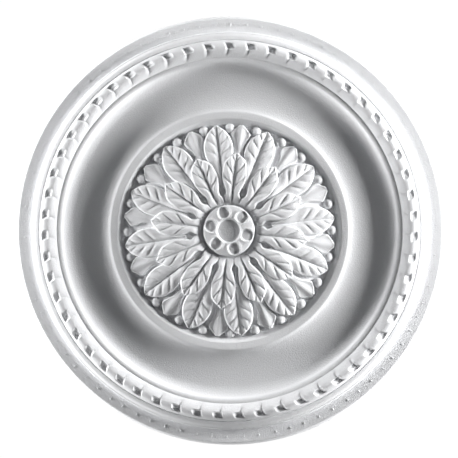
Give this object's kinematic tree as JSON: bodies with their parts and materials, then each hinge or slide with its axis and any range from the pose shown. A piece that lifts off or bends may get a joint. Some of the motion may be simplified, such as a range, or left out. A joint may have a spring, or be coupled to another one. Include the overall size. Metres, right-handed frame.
{
  "type": "ceiling rose",
  "caption": "Round moulded foam ceiling rose: a leafy flower and hub inside a wide cove, ringed by lapped husks and a stepped rim, with a flat back to glue to a ceiling.",
  "frame": {"origin": "centre of the flat back, the face that is glued to the ceiling", "axes": "+Z runs out of the back through the ornament, so on a ceiling the part is turned over and +Z points down; +Y is the top of the picture and +X its right"},
  "size_m": [0.458, 0.458, 0.0352],
  "materials": {
    "moulded_foam": "matt white moulded polystyrene foam with a fine bead grain"
  },
  "bodies": {
    "root": {"ceiling_rose": "moulded_foam"}
  },
  "joints": []
}
